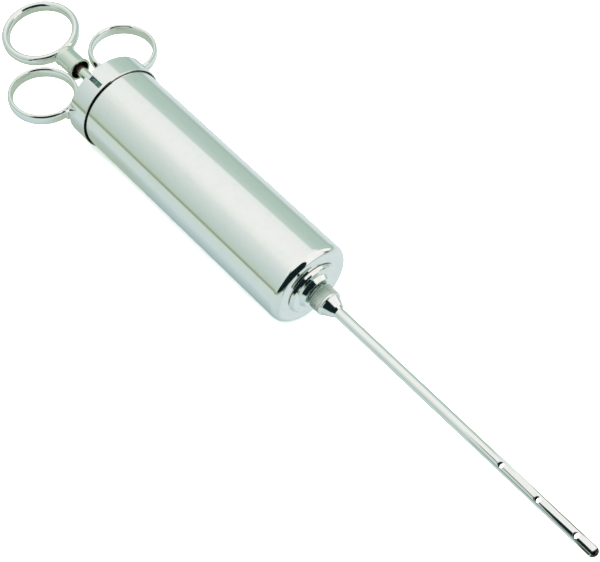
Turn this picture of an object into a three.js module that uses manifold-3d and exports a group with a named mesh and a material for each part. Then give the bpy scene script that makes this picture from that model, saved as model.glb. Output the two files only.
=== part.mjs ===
// Meat injector: a nickel-plated brass syringe with two finger rings, a thumb ring,
// a bayonet cap, a two-cup leather piston and a screw-on cross-drilled needle.
// Millimetres. The barrel's axis runs along X, the needle points to +X and +Z is up.
// Stations along the axis are measured from the front edge of the bayonet collar.

import * as THREE from 'three';
import { mergeVertices } from 'three/addons/utils/BufferGeometryUtils.js';
import Module from 'manifold-3d';

const wasm = await Module();
wasm.setup();

// ---------------------------------------------------------------- driving dimensions

const GAP = 0.3; // clearance between neighbouring pieces
const FACETS = 40; // sides of the barrel-sized turned pieces
const SMALL_FACETS = 24; // sides of the small turned pieces

const BARREL_R = 19.05; // 38.1 mm tube
const BARREL_WALL = 1.0;
const BARREL_REAR = -9.6; // rear mouth of the tube, just inside the collar
const FRONT_FACE = 123.75;
const FRONT_WALL = 1.3;
const SHOULDER_R = 3.6; // rounded edge between the tube and its front face

const COLLAR_R = 20.2;
const COLLAR_LENGTH = 9.9;
const COLLAR_CHAMFER = 0.4;

const SLOT_WIDTH = 2.0;
const SLOT_ANGLE = 27; // degrees from +Z towards -Y, where the cap's pins enter
const SLOT_END = -0.9; // front end of both legs of the bayonet slot
const SLOT_MOUTH = 2.7; // width of the widened mouth at the collar's rear edge
const SLOT_MOUTH_DEPTH = 1.6;
const SLOT_MOUTH_ANGLE = 24.2;
const PIN_R = 0.7;
const PIN_ANGLE = 90; // where the pins lie when the cap is locked
const PIN_TIP_R = 18.9;

const NOZZLE_FLANGE_R = 11.9;
const NOZZLE_TOP_R = 10.4;
const NOZZLE_FLANGE_HEIGHT = 1.35;
const SPIGOT_BASE_R = 8.2;
const SPIGOT_R = 6.5;
const SPIGOT_END = 127.3;
const THREAD_R = 4.0;
const THREAD_DEPTH = 0.45;
const THREAD_PITCH = 1.0;
const THREAD_RUNOUT = 0.8; // plain length between the spigot and the first ridge
const THREAD_END = 132.6;
const NOZZLE_SHANK_R = 6.0;
const NOZZLE_BORE_R = 2.0;

const CAP_R = 17.7;
const CAP_PLATE = 2.0; // thickness of the cap's end plate
const CAP_SKIRT = 1.5; // thickness of the cap's skirt
const CAP_FRONT = -0.5;

const RING_HEIGHT = 5.5; // along each ring's own axis
const FINGER_RING_R = 14.15; // to the middle of the ring's section
const FINGER_RING_SECTION = 2.4; // across the section
const FINGER_RING_X = -26.6;
const FINGER_RING_Y = 21.3;
const THUMB_RING_R = 15.7;
const THUMB_RING_SECTION = 3.7;
const THUMB_RING_X = -58.5;
const THUMB_TWIST = 8.8; // degrees that the thumb ring is turned about the rod
const FOOT_HEIGHT = 4.6;
const FOOT_INNER_Y = 11.6;
const FOOT_OUTER_Y = 20.6;

const ROD_R = 2.38;
const ROD_FRONT = 121.6;
const ROD_REAR = -38;
const HUB_R = 4.75;
const HUB_RIM_R = 5.4;
const HUB_RIM = 1.2; // length of the rim
const HUB_ROOT = 1.5; // length of the flare where the hub meets the ring
const HUB_ROOT_R = 5.35;
const HUB_FRONT = -29.1;
const HUB_REAR = -40.5;
const HUB_RECESS_R = 4.4;
const HUB_RECESS_DEPTH = 4.5;

const BUSH_R = 5.0;
const BUSH_FLANGE_R = 7.0;
const BUSH_FLANGE = 1.5; // thickness of the flange
const BUSH_NOSE_R = 4.3;
const BUSH_CHAMFER = 0.6;
const BUSH_REAR = -14.5;
const BUSH_FRONT = -6.4;
const PACKING_R = 3.9;
const PACKING_SEAT = 2.6; // depth of the packing's seat in the bush

const CUP_R = 17.75;
const CUP_WALL = 1.5;
const CUP_BASE = 2.0; // thickness of the leather
const CUP_DEPTH = 5.2; // outside height of a cup
const CUP_ROUNDING = 1.2; // at the edge of the base
const CUP_LIP = 1.0; // length over which the lip thins to half
const PLATE_THICKNESS = 1.5;
const PLATE_R = 15.9;
const SPACER_R = 12;
const NUT_FLATS = 9;
const NUT_HEIGHT = 3.2;
const PISTON_FRONT = 121.9; // front face of the piston nut with the plunger home

const KNURL_R = 5.75;
const KNURL_DEPTH = 0.35;
const KNURL_TEETH = 30;
const HUB_NUT_REAR = 127.8;
const KNURL_END = 134.3;
const CONE_R = 5.4;
const CONE_TIP_R = 3.1;
const CONE_END = 139.4;
const HUB_BORE_R = 4.3;
const HUB_FLOOR = 134.2;
const GASKET_R = 3.9;

const NEEDLE_R = 2.38; // 4.76 mm tube
const NEEDLE_BORE_R = 1.6;
const NEEDLE_REAR = 134.8;
const NEEDLE_TIP = 274.7;
const NOSE_LENGTH = 2.1;
const PLUG_R = 1.3;
const PLUG_LENGTH = 4;
const HOLE_R = 1.15;
const HOLE_STATIONS = [227.9, 246.2, 264.8];
const HOLE_ANGLE = 28; // degrees from +Z towards -Y

// ---------------------------------------------------------------- materials

function metal(color, roughness) {
  return new THREE.MeshStandardMaterial({ color, roughness, metalness: 1 });
}

function nickel() {
  return metal(0xdfe6e2, 0.12);
}

function brass() {
  return metal(0xc9a24a, 0.35);
}

function leather() {
  return new THREE.MeshStandardMaterial({ color: 0x9a6a3c, roughness: 0.8, metalness: 0 });
}

function rubber() {
  return new THREE.MeshStandardMaterial({ color: 0x26282a, roughness: 0.7, metalness: 0 });
}

// ---------------------------------------------------------------- shape helpers

const radians = THREE.MathUtils.degToRad;

// Points of an arc in a [station, radius] profile, between two angles in degrees.
function arc(station, radius, r, from, to, steps) {
  const points = [];
  for (let i = 0; i <= steps; i += 1) {
    const angle = radians(from + ((to - from) * i) / steps);
    points.push([station + r * Math.cos(angle), radius + r * Math.sin(angle)]);
  }
  return points;
}

// A solid turned about X from a [station, radius] profile. A profile that leaves the
// axis is closed on itself. A flat facet faces straight down.
function turned(profile, facets = SMALL_FACETS) {
  const points = profile.map(([x, r]) => new THREE.Vector2(r, x));
  if (profile[0][1] > 0) {
    points.push(points[0].clone());
  }
  if (THREE.ShapeUtils.area(points) < 0) {
    points.reverse();
  }
  const geometry = new THREE.LatheGeometry(points, facets, Math.PI / facets);
  geometry.rotateZ(-Math.PI / 2);
  return geometry;
}

// A shape drawn across the axis and pushed along X between two stations.
function alongX(shape, from, to) {
  const geometry = new THREE.ExtrudeGeometry(shape, {
    depth: to - from,
    bevelEnabled: false,
    curveSegments: SMALL_FACETS,
  });
  geometry.rotateY(Math.PI / 2);
  geometry.translate(from, 0, 0);
  return geometry;
}

// A radial pin or drill centred on the axis of X, turned from +Z towards -Y.
function radialRod(r, from, to, station, degrees) {
  const geometry = new THREE.CylinderGeometry(r, r, to - from, 16);
  geometry.rotateX(Math.PI / 2);
  geometry.translate(station, 0, (from + to) / 2);
  geometry.rotateX(radians(degrees));
  return geometry;
}

// A radial cutter of rectangular section, turned from +Z towards -Y.
function radialSlot(from, to, width, degrees) {
  const height = 6;
  const geometry = new THREE.BoxGeometry(to - from, width, height);
  geometry.translate((from + to) / 2, 0, BARREL_R);
  geometry.rotateX(radians(degrees));
  return geometry;
}

function toSolid(geometry) {
  const bare = geometry.clone();
  bare.deleteAttribute('normal');
  bare.deleteAttribute('uv');
  const welded = mergeVertices(bare);
  const corners = welded.index.array;
  const triVerts = [];
  for (let i = 0; i < corners.length; i += 3) {
    const [a, b, c] = [corners[i], corners[i + 1], corners[i + 2]];
    if (a !== b && b !== c && c !== a) {
      triVerts.push(a, b, c);
    }
  }
  return new wasm.Manifold(new wasm.Mesh({
    numProp: 3,
    vertProperties: new Float32Array(welded.attributes.position.array),
    triVerts: new Uint32Array(triVerts),
  }));
}

function toGeometry(solid) {
  const mesh = solid.getMesh();
  const geometry = new THREE.BufferGeometry();
  geometry.setAttribute('position', new THREE.BufferAttribute(mesh.vertProperties, 3));
  geometry.setIndex(new THREE.BufferAttribute(mesh.triVerts, 1));
  geometry.computeVertexNormals();
  return geometry;
}

function cut(geometry, cutters) {
  let solid = toSolid(geometry);
  for (const cutter of cutters) {
    solid = solid.subtract(toSolid(cutter));
  }
  return toGeometry(solid);
}

function joined(first, second) {
  return toGeometry(toSolid(first).add(toSolid(second)));
}

function washer(from, to, outer, inner, facets = SMALL_FACETS) {
  return turned([[from, inner], [from, outer], [to, outer], [to, inner]], facets);
}

function hexNut(from, to) {
  const corner = NUT_FLATS / 2 / Math.cos(Math.PI / 6);
  const shape = new THREE.Shape();
  for (let i = 0; i < 6; i += 1) {
    const angle = (i * Math.PI) / 3;
    const point = [corner * Math.cos(angle), corner * Math.sin(angle)];
    if (i === 0) {
      shape.moveTo(...point);
    } else {
      shape.lineTo(...point);
    }
  }
  shape.holes.push(new THREE.Path().absarc(0, 0, ROD_R + GAP, 0, 2 * Math.PI, true));
  return alongX(shape, from, to);
}

// A flat ring about Z whose section is a rounded rectangle.
function flatRing(radius, section) {
  const steps = 12;
  const facets = 36;
  const squareness = 0.6; // 1 would be an ellipse, 0 a rectangle
  const round = (v) => Math.sign(v) * Math.abs(v) ** squareness;
  const points = [];
  for (let i = 0; i <= steps; i += 1) {
    const angle = (i * 2 * Math.PI) / steps;
    const across = (section / 2) * round(Math.cos(angle));
    const up = (RING_HEIGHT / 2) * round(Math.sin(angle));
    points.push(new THREE.Vector2(radius + across, up));
  }
  points[steps].copy(points[0]);
  const geometry = new THREE.LatheGeometry(points, facets);
  geometry.rotateX(Math.PI / 2);
  return geometry;
}

// ---------------------------------------------------------------- barrel

function bayonetLegs() {
  const half = THREE.MathUtils.radToDeg(SLOT_WIDTH / 2 / (BARREL_R - BARREL_WALL / 2));
  const legs = [];
  for (const turn of [0, 180]) {
    legs.push(radialSlot(BARREL_REAR - 2, SLOT_END, SLOT_WIDTH, SLOT_ANGLE + turn));
    const start = Math.PI + radians(SLOT_ANGLE - half + turn);
    const end = Math.PI + radians(PIN_ANGLE + half + turn);
    const sector = new THREE.Shape();
    sector.absarc(0, 0, BARREL_R + 1, start, end, false);
    sector.absarc(0, 0, BARREL_R - BARREL_WALL - 1, end, start, true);
    legs.push(alongX(sector, SLOT_END - SLOT_WIDTH, SLOT_END));
  }
  return legs;
}

function barrelTube() {
  const inner = BARREL_R - BARREL_WALL;
  const innerShoulder = SHOULDER_R - BARREL_WALL;
  const wallInside = FRONT_FACE - FRONT_WALL;
  const holeR = NOZZLE_SHANK_R + GAP;
  const profile = [
    [BARREL_REAR, inner],
    [BARREL_REAR, BARREL_R],
    ...arc(FRONT_FACE - SHOULDER_R, BARREL_R - SHOULDER_R, SHOULDER_R, 90, 0, 5),
    [FRONT_FACE, holeR],
    [wallInside, holeR],
    ...arc(wallInside - innerShoulder, inner - innerShoulder, innerShoulder, 0, 90, 3),
  ];
  return cut(turned(profile, FACETS), bayonetLegs());
}

function bayonetCollar() {
  const inner = BARREL_R + GAP;
  const profile = [
    [-COLLAR_LENGTH, inner],
    [-COLLAR_LENGTH, COLLAR_R - COLLAR_CHAMFER],
    [-COLLAR_LENGTH + COLLAR_CHAMFER, COLLAR_R],
    [-COLLAR_CHAMFER, COLLAR_R],
    [0, COLLAR_R - COLLAR_CHAMFER],
    [0, inner],
  ];
  const cutters = [];
  for (const turn of [0, 180]) {
    const behind = -COLLAR_LENGTH - 1;
    const mouthEnd = -COLLAR_LENGTH + SLOT_MOUTH_DEPTH;
    cutters.push(radialSlot(behind, SLOT_END, SLOT_WIDTH, SLOT_ANGLE + turn));
    cutters.push(radialSlot(behind, mouthEnd, SLOT_MOUTH, SLOT_MOUTH_ANGLE + turn));
  }
  return cut(turned(profile, FACETS), cutters);
}

function nozzle() {
  const base = FRONT_FACE + GAP;
  const top = base + NOZZLE_FLANGE_HEIGHT;
  const shankEnd = FRONT_FACE - FRONT_WALL;
  const root = THREAD_R - THREAD_DEPTH;
  const profile = [
    [shankEnd, NOZZLE_BORE_R],
    [shankEnd, NOZZLE_SHANK_R],
    [base, NOZZLE_SHANK_R],
    [base, NOZZLE_FLANGE_R],
    [top, NOZZLE_TOP_R],
    [top, SPIGOT_BASE_R],
    [SPIGOT_END, SPIGOT_R],
    [SPIGOT_END, root],
  ];
  for (let x = SPIGOT_END + THREAD_RUNOUT; x < THREAD_END - THREAD_PITCH / 2; x += THREAD_PITCH) {
    profile.push([x, root], [x + THREAD_PITCH / 2, THREAD_R]);
  }
  profile.push([THREAD_END, root], [THREAD_END, NOZZLE_BORE_R]);
  return turned(profile, SMALL_FACETS);
}

// ---------------------------------------------------------------- cap and finger rings

function capPlate() {
  const skirtR = CAP_R - CAP_SKIRT;
  const plateFront = BARREL_REAR + CAP_PLATE;
  const profile = [
    [BARREL_REAR, BUSH_R + GAP],
    [BARREL_REAR, CAP_R],
    [CAP_FRONT, CAP_R],
    [CAP_FRONT, skirtR],
    [plateFront, skirtR],
    [plateFront, BUSH_R + GAP],
  ];
  const station = SLOT_END - SLOT_WIDTH / 2;
  const drill = (turn) => radialRod(PIN_R + GAP, skirtR - 1, CAP_R + 1, station, PIN_ANGLE + turn);
  return cut(turned(profile, FACETS), [drill(0), drill(180)]);
}

function bayonetPin(turn) {
  const station = SLOT_END - SLOT_WIDTH / 2;
  return radialRod(PIN_R, CAP_R - CAP_SKIRT + GAP, PIN_TIP_R, station, PIN_ANGLE + turn);
}

// A web that carries a finger ring: it stands on the cap plate and is hollowed to fit
// the ring's outside.
function ringFoot() {
  const ringOutside = FINGER_RING_R + FINGER_RING_SECTION / 2 + GAP;
  const plateRear = BARREL_REAR - GAP;
  const collarRear = -COLLAR_LENGTH - GAP;
  const seat = (y) => Math.asin((y - FINGER_RING_Y) / ringOutside);
  const shape = new THREE.Shape();
  shape.moveTo(plateRear, FOOT_INNER_Y);
  shape.lineTo(plateRear, CAP_R - GAP);
  shape.lineTo(collarRear, CAP_R);
  shape.lineTo(collarRear, FOOT_OUTER_Y);
  const from = seat(FOOT_OUTER_Y);
  const to = seat(FOOT_INNER_Y);
  shape.absarc(FINGER_RING_X, FINGER_RING_Y, ringOutside, from, to, true);
  const geometry = new THREE.ExtrudeGeometry(shape, {
    depth: FOOT_HEIGHT,
    bevelEnabled: false,
    curveSegments: 8,
  });
  geometry.translate(0, 0, -FOOT_HEIGHT / 2);
  return geometry;
}

function rodBush() {
  const bore = ROD_R + GAP;
  const flangeFront = BARREL_REAR - GAP;
  const flangeRear = flangeFront - BUSH_FLANGE;
  const seatR = PACKING_R + GAP;
  const seatFloor = BUSH_FRONT - PACKING_SEAT;
  return turned([
    [BUSH_REAR, bore],
    [BUSH_REAR, BUSH_NOSE_R - BUSH_CHAMFER],
    [BUSH_REAR + BUSH_CHAMFER, BUSH_NOSE_R],
    [flangeRear, BUSH_NOSE_R],
    [flangeRear, BUSH_FLANGE_R],
    [flangeFront, BUSH_FLANGE_R],
    [flangeFront, BUSH_R],
    [BUSH_FRONT, BUSH_R],
    [BUSH_FRONT, seatR],
    [seatFloor, seatR],
    [seatFloor, bore],
  ]);
}

function rodPacking() {
  const rear = BUSH_FRONT - PACKING_SEAT + GAP;
  return washer(rear, BUSH_FRONT - GAP, PACKING_R, ROD_R + GAP);
}

// ---------------------------------------------------------------- plunger and piston

function plungerRod() {
  return turned([
    [ROD_REAR, 0],
    [ROD_REAR, ROD_R],
    [ROD_FRONT, ROD_R],
    [ROD_FRONT, 0],
  ]);
}

function thumbHub() {
  const floor = HUB_FRONT - HUB_RECESS_DEPTH;
  return turned([
    [HUB_REAR, 0],
    [HUB_REAR, HUB_ROOT_R],
    [HUB_REAR + HUB_ROOT, HUB_R],
    [HUB_FRONT - HUB_RIM, HUB_R],
    [HUB_FRONT - HUB_RIM, HUB_RIM_R],
    [HUB_FRONT, HUB_RIM_R],
    [HUB_FRONT, HUB_RECESS_R],
    [floor, HUB_RECESS_R],
    [floor, ROD_R + GAP],
    [ROD_REAR - GAP, ROD_R + GAP],
    [ROD_REAR - GAP, 0],
  ]);
}

function leatherCup(base, direction) {
  const bore = ROD_R + GAP;
  const station = (depth) => base + direction * depth;
  return turned([
    [station(0), bore],
    [station(0), CUP_R - CUP_ROUNDING],
    [station(CUP_ROUNDING / 3), CUP_R - CUP_ROUNDING / 3],
    [station(CUP_ROUNDING), CUP_R],
    [station(CUP_DEPTH), CUP_R],
    [station(CUP_DEPTH), CUP_R - CUP_WALL / 2],
    [station(CUP_DEPTH - CUP_LIP), CUP_R - CUP_WALL],
    [station(CUP_BASE), CUP_R - CUP_WALL],
    [station(CUP_BASE), bore],
  ], FACETS);
}

// ---------------------------------------------------------------- needle

function needleNut() {
  const outline = new THREE.Shape();
  for (let i = 0; i < KNURL_TEETH * 2; i += 1) {
    const r = i % 2 === 0 ? KNURL_R : KNURL_R - KNURL_DEPTH;
    const angle = (i * Math.PI) / KNURL_TEETH;
    const point = [r * Math.cos(angle), r * Math.sin(angle)];
    if (i === 0) {
      outline.moveTo(...point);
    } else {
      outline.lineTo(...point);
    }
  }
  const knurled = alongX(outline, HUB_NUT_REAR, KNURL_END);
  const cone = turned([
    [KNURL_END - 1, 0],
    [KNURL_END - 1, CONE_R - KNURL_DEPTH],
    [KNURL_END, CONE_R],
    [CONE_END, CONE_TIP_R],
    [CONE_END, 0],
  ]);
  const bore = turned([
    [HUB_NUT_REAR - 1, 0],
    [HUB_NUT_REAR - 1, HUB_BORE_R],
    [HUB_FLOOR, HUB_BORE_R],
    [HUB_FLOOR, NEEDLE_R + GAP],
    [CONE_END + 1, NEEDLE_R + GAP],
    [CONE_END + 1, 0],
  ]);
  return cut(joined(knurled, cone), [bore]);
}

function needleTube() {
  const end = NEEDLE_TIP - NOSE_LENGTH - GAP;
  const drills = HOLE_STATIONS.map(
    (station) => radialRod(HOLE_R, -NEEDLE_R - 1, NEEDLE_R + 1, station, HOLE_ANGLE),
  );
  return cut(washer(NEEDLE_REAR, end, NEEDLE_R, NEEDLE_BORE_R), drills);
}

function needleTip() {
  const shoulder = NEEDLE_TIP - NOSE_LENGTH;
  const rear = shoulder - PLUG_LENGTH;
  const profile = [
    [rear, 0],
    [rear, PLUG_R],
    [shoulder, PLUG_R],
  ];
  const steps = 6;
  for (let i = 0; i <= steps; i += 1) {
    const angle = (i * Math.PI) / 2 / steps;
    const r = i === steps ? 0 : NEEDLE_R * Math.cos(angle);
    profile.push([shoulder + NOSE_LENGTH * Math.sin(angle), r]);
  }
  return turned(profile);
}

// ---------------------------------------------------------------- assembly

const injector = new THREE.Group();
const rearEnd = THUMB_RING_X - THUMB_RING_R - THUMB_RING_SECTION / 2;
const axisHeight = COLLAR_R * Math.cos(Math.PI / FACETS);
injector.position.set(-(rearEnd + NEEDLE_TIP) / 2, 0, axisHeight);

function add(parent, name, geometry, material) {
  const mesh = new THREE.Mesh(geometry, material);
  mesh.name = name;
  parent.add(mesh);
  return mesh;
}

add(injector, 'barrel_tube', barrelTube(), nickel());
add(injector, 'bayonet_collar', bayonetCollar(), nickel());
add(injector, 'nozzle', nozzle(), nickel());

add(injector, 'cap_plate', capPlate(), nickel());
add(injector, 'rod_bush', rodBush(), nickel());
add(injector, 'rod_packing', rodPacking(), leather());
for (const [side, hand] of [[1, 'left'], [-1, 'right']]) {
  add(injector, `bayonet_pin_${hand}`, bayonetPin(side === 1 ? 180 : 0), brass());
  const ring = add(
    injector,
    `finger_ring_${hand}`,
    flatRing(FINGER_RING_R, FINGER_RING_SECTION),
    nickel(),
  );
  ring.position.set(FINGER_RING_X, side * FINGER_RING_Y, 0);
  const foot = add(injector, `ring_foot_${hand}`, ringFoot(), nickel());
  foot.rotation.x = side === 1 ? 0 : Math.PI;
}

const plunger = new THREE.Group();
plunger.rotation.x = radians(THUMB_TWIST);
injector.add(plunger);
add(plunger, 'plunger_rod', plungerRod(), nickel());
add(plunger, 'thumb_hub', thumbHub(), nickel());
const thumbRing = add(
  plunger,
  'thumb_ring',
  flatRing(THUMB_RING_R, THUMB_RING_SECTION),
  nickel(),
);
thumbRing.position.x = THUMB_RING_X;

// The piston's pieces, stacked rearwards from the front nut.
let station = PISTON_FRONT;
function stack(height) {
  const front = station;
  station -= height + GAP;
  return [front - height, front];
}
add(plunger, 'piston_nut', hexNut(...stack(NUT_HEIGHT)), brass());
const [frontPlateRear, frontPlateFront] = stack(PLATE_THICKNESS);
const plateBore = ROD_R + GAP;
add(
  plunger,
  'piston_front_plate',
  washer(frontPlateRear, frontPlateFront, PLATE_R, plateBore, FACETS),
  nickel(),
);
const [frontCupBase] = stack(CUP_BASE);
add(injector, 'front_cup', leatherCup(frontCupBase, 1), leather());
const [spacerRear, spacerFront] = stack(PLATE_THICKNESS);
add(injector, 'cup_spacer', washer(spacerRear, spacerFront, SPACER_R, plateBore), brass());
const [, rearCupBase] = stack(CUP_BASE);
add(injector, 'rear_cup', leatherCup(rearCupBase, -1), leather());
const [rearPlateRear, rearPlateFront] = stack(PLATE_THICKNESS);
add(
  plunger,
  'piston_rear_plate',
  washer(rearPlateRear, rearPlateFront, PLATE_R, plateBore, FACETS),
  nickel(),
);
add(plunger, 'piston_lock_nut', hexNut(...stack(NUT_HEIGHT)), brass());

const gasketRear = THREAD_END + GAP;
const gasketFront = HUB_FLOOR - GAP;
add(injector, 'needle_gasket', washer(gasketRear, gasketFront, GASKET_R, NOZZLE_BORE_R), rubber());
add(injector, 'needle_nut', needleNut(), nickel());
add(injector, 'needle_tube', needleTube(), nickel());
add(injector, 'needle_tip', needleTip(), nickel());

export default injector;
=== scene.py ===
"""Meat injector: the visual model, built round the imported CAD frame.

Profiles are corners (station, radius, fillet) in millimetres. Stations run along the barrel's
axis from the front edge of the bayonet collar towards the needle's tip, and radii are from
that axis. Angles go from +Z towards -Y.
"""

from math import acos, asin, cos, degrees, pi, radians, sin, tan

import bmesh
import bpy
import numpy as np
from mathutils import Matrix, Vector


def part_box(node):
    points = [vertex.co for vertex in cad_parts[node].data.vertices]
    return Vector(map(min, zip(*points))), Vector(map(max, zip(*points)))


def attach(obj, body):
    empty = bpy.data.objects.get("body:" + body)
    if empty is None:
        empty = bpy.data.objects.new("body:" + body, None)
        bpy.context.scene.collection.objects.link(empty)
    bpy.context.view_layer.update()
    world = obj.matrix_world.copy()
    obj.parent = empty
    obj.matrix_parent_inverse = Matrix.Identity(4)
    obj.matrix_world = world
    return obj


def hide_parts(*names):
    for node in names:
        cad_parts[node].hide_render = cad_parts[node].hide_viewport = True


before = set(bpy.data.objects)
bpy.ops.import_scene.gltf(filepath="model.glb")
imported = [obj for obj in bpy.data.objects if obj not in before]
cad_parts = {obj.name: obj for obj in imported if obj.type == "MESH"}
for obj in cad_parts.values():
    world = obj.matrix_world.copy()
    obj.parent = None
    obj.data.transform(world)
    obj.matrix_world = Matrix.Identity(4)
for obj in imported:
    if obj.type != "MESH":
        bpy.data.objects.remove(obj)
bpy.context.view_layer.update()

# ------------------------------------------------------------------ sizes from the frame

MM = 0.001
BIG_FACETS = 40  # sides of the CAD model's barrel-sized turned pieces
SMALL_FACETS = 24
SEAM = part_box("bayonet_collar")[1].x
AXIS_Z = (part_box("bayonet_collar")[0].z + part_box("bayonet_collar")[1].z) / 2


def span(node):
    """First and last station of a CAD node."""
    low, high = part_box(node)
    return (low.x - SEAM) / MM, (high.x - SEAM) / MM


def radius(node, facets=SMALL_FACETS):
    """Radius of a turned CAD node, measured over its flat facets."""
    low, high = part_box(node)
    return (high.z - low.z) / 2 / MM / cos(pi / facets)


BARREL_REAR, BARREL_FRONT = span("barrel_tube")
BARREL_R = radius("barrel_tube", BIG_FACETS)
BARREL_WALL = 1.0
FRONT_WALL = 1.3
SHOULDER = 3.6
COLLAR_REAR = span("bayonet_collar")[0]
COLLAR_R = AXIS_Z / MM  # the collar lies on the floor
COLLAR_EDGE = 0.45
COLLAR_FRONT = 0.45
COLLAR_GROOVE = 0.5  # width of the groove between the collar's front face and the tube

SLOT_WIDTH = 2.3
SLOT_ANGLE = 25.7
SLOT_END = -0.9
SLOT_MOUTH = 2.9
SLOT_MOUTH_DEPTH = 1.6
SLOT_MOUTH_ANGLE = 24.2
SLOT_CORNER = 0.35
PIN_STATION = SLOT_END - SLOT_WIDTH / 2
PIN_R = 0.7
PIN_TIP_R = (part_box("bayonet_pin_left")[1].y) / MM

NOZZLE_REAR, NOZZLE_END = span("nozzle")
FLANGE_R = radius("nozzle")
FLANGE_TOP_R = 10.9
FLANGE_TOP = BARREL_FRONT + 1.65
SOLDER = 0.4  # the bead of solder round the flange's foot
SPIGOT_BASE_R = 8.2
SPIGOT_R = 7.0
SPIGOT_END = 127.3
SHANK_R = 6.0
BORE_R = 2.0
THREAD_R = 4.0
THREAD_DEPTH = 0.45
THREAD_PITCH = 1.0
THREAD_RUNOUT = 0.8
THREAD_STEP = THREAD_PITCH / 12  # between the loops that carry a thread

CAP_REAR, CAP_FRONT = span("cap_plate")
CAP_R = radius("cap_plate", BIG_FACETS)
CAP_PLATE = 2.0
CAP_SKIRT = 1.5
BUSH_REAR, BUSH_FRONT = span("rod_bush")
BUSH_FLANGE_R = radius("rod_bush")
BUSH_FLANGE = 1.5
BUSH_R = 5.0
BUSH_NOSE_R = 4.3
PACKING_REAR, PACKING_FRONT = span("rod_packing")
PACKING_R = radius("rod_packing")
PACKING_SEAT = 2.6
FIT = 0.08  # clearance between turned pieces that move on each other
FIXED = 0.02  # clearance between pieces that are fixed to each other

RING_HEIGHT = 5.5
FINGER_SECTION = 2.4
FINGER_SQUARENESS = 0.84  # exponent of the section: 1 is an ellipse, 0 a rectangle
THUMB_SECTION = 3.7
THUMB_SQUARENESS = 1.0
THUMB_TWIST = 8.8
FOOT_HEIGHT = 4.6
FOOT_EDGE = 0.45
FOOT_INNER_Y = 11.6
FOOT_OUTER_Y = 20.6

ROD_REAR, ROD_FRONT = span("plunger_rod")
ROD_R = radius("plunger_rod")
ROD_THREAD_DEPTH = 0.22
HUB_REAR, HUB_FRONT = span("thumb_hub")
HUB_R = 4.75
HUB_RIM_R = radius("thumb_hub")
HUB_RIM = 1.2
HUB_ROOT_R = 5.35
HUB_ROOT = 1.5
HUB_RECESS_R = 4.4
HUB_RECESS = 4.5

CUP_R = radius("front_cup", BIG_FACETS)
CUP_WALL = 1.5
CUP_BASE = 2.0
CUP_DEPTH_MIDDLE = 2.6  # how far from its base the cup's side stops tapering
CUP_RIPPLE = 0.06
NUT_FLATS = 9.0
NUT_BORE_FLARE = 1.4

NUT_REAR, CONE_END = span("needle_nut")
KNURL_R = 5.75
KNURL_DEPTH = 0.22
KNURL_TEETH = 60
KNURL_PITCH = 0.62
KNURL_END = 133.5
NUT_END = 134.4
NUT_REAR_R = 4.9
CONE_R = 5.1
CONE_TIP_R = 3.1
NUT_BORE_R = 4.25
NUT_FLOOR = 134.2
NEEDLE_REAR, NEEDLE_SHOULDER = span("needle_tube")
NEEDLE_TIP = span("needle_tip")[1]
NEEDLE_R = radius("needle_tube")
NEEDLE_BORE_R = 1.6
HOLE_R = 1.15
HOLE_EDGE = 0.12
HOLE_LOOPS = (-1.9, -1.5, 1.5, 1.9)  # edge loops on either side of each hole
HOLE_ANGLE = 28
HOLES = (227.9, 246.2, 264.8)

# ------------------------------------------------------------------ mesh helpers

FINE = 256  # sides of a barrel-sized turned piece
SMALL = 128
LOOP = 0.05  # distance of the loop that keeps a flat flat beside a fillet
SHARP = radians(38)


def smooth(obj):
    """Normals outwards, smooth shading but for sharp edges, and how exposed each corner is."""
    mesh = obj.data
    shape = bmesh.new()
    shape.from_mesh(mesh)
    bmesh.ops.recalc_face_normals(shape, faces=shape.faces)
    shape.verts.ensure_lookup_table()
    edge_wear = [0.0] * len(shape.verts)
    for edge in shape.edges:
        if len(edge.link_faces) != 2:
            continue
        bend = (degrees(edge.calc_face_angle_signed(0.0)) - 4) / 9
        if bend > 0:
            for vert in edge.verts:
                edge_wear[vert.index] = max(edge_wear[vert.index], min(bend, 1.0))
    shape.to_mesh(mesh)
    shape.free()
    mesh.shade_smooth()
    mesh.set_sharp_from_angle(angle=SHARP)
    layer = mesh.attributes.get("edge") or mesh.attributes.new("edge", "FLOAT", "POINT")
    layer.data.foreach_set("value", edge_wear)
    return obj


def make(name, points, faces):
    """An object from points in millimetres about the barrel's axis."""
    mesh = bpy.data.meshes.new(name)
    origin = np.array((SEAM, 0.0, AXIS_Z))
    mesh.from_pydata((np.asarray(points, float) * MM + origin).tolist(), [], faces)
    obj = bpy.data.objects.new(name, mesh)
    bpy.context.scene.collection.objects.link(obj)
    return smooth(obj)


def rounded(corners, closed=True, steps=8):
    """A profile through corners (station, radius, fillet), each turned into an arc."""
    points = [np.array(corner[:2], float) for corner in corners]
    profile = []
    for i, corner in enumerate(corners):
        here = points[i]
        last = not closed and i in (0, len(corners) - 1)
        if last or len(corner) < 3:
            profile.append(tuple(here))
            continue
        back = points[i - 1] - here
        ahead = points[(i + 1) % len(points)] - here
        far_back, far_ahead = np.linalg.norm(back), np.linalg.norm(ahead)
        back, ahead = back / far_back, ahead / far_ahead
        opening = acos(max(-1.0, min(1.0, float(back @ ahead))))
        reach = min(corner[2] / tan(opening / 2), 0.48 * far_back, 0.48 * far_ahead)
        bisector = (back + ahead) / np.linalg.norm(back + ahead)
        centre = here + bisector * reach / cos(opening / 2)
        start, end = here + back * reach - centre, here + ahead * reach - centre
        turn = pi - opening
        profile.append(tuple(here + back * (reach + min(LOOP, 0.2 * (far_back - reach)))))
        for k in range(steps + 1):
            part = k / steps * turn
            spoke = (sin(turn - part) * start + sin(part) * end) / sin(turn)
            profile.append(tuple(centre + spoke))
        profile.append(tuple(here + ahead * (reach + min(LOOP, 0.2 * (far_ahead - reach)))))
    return profile


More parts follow.
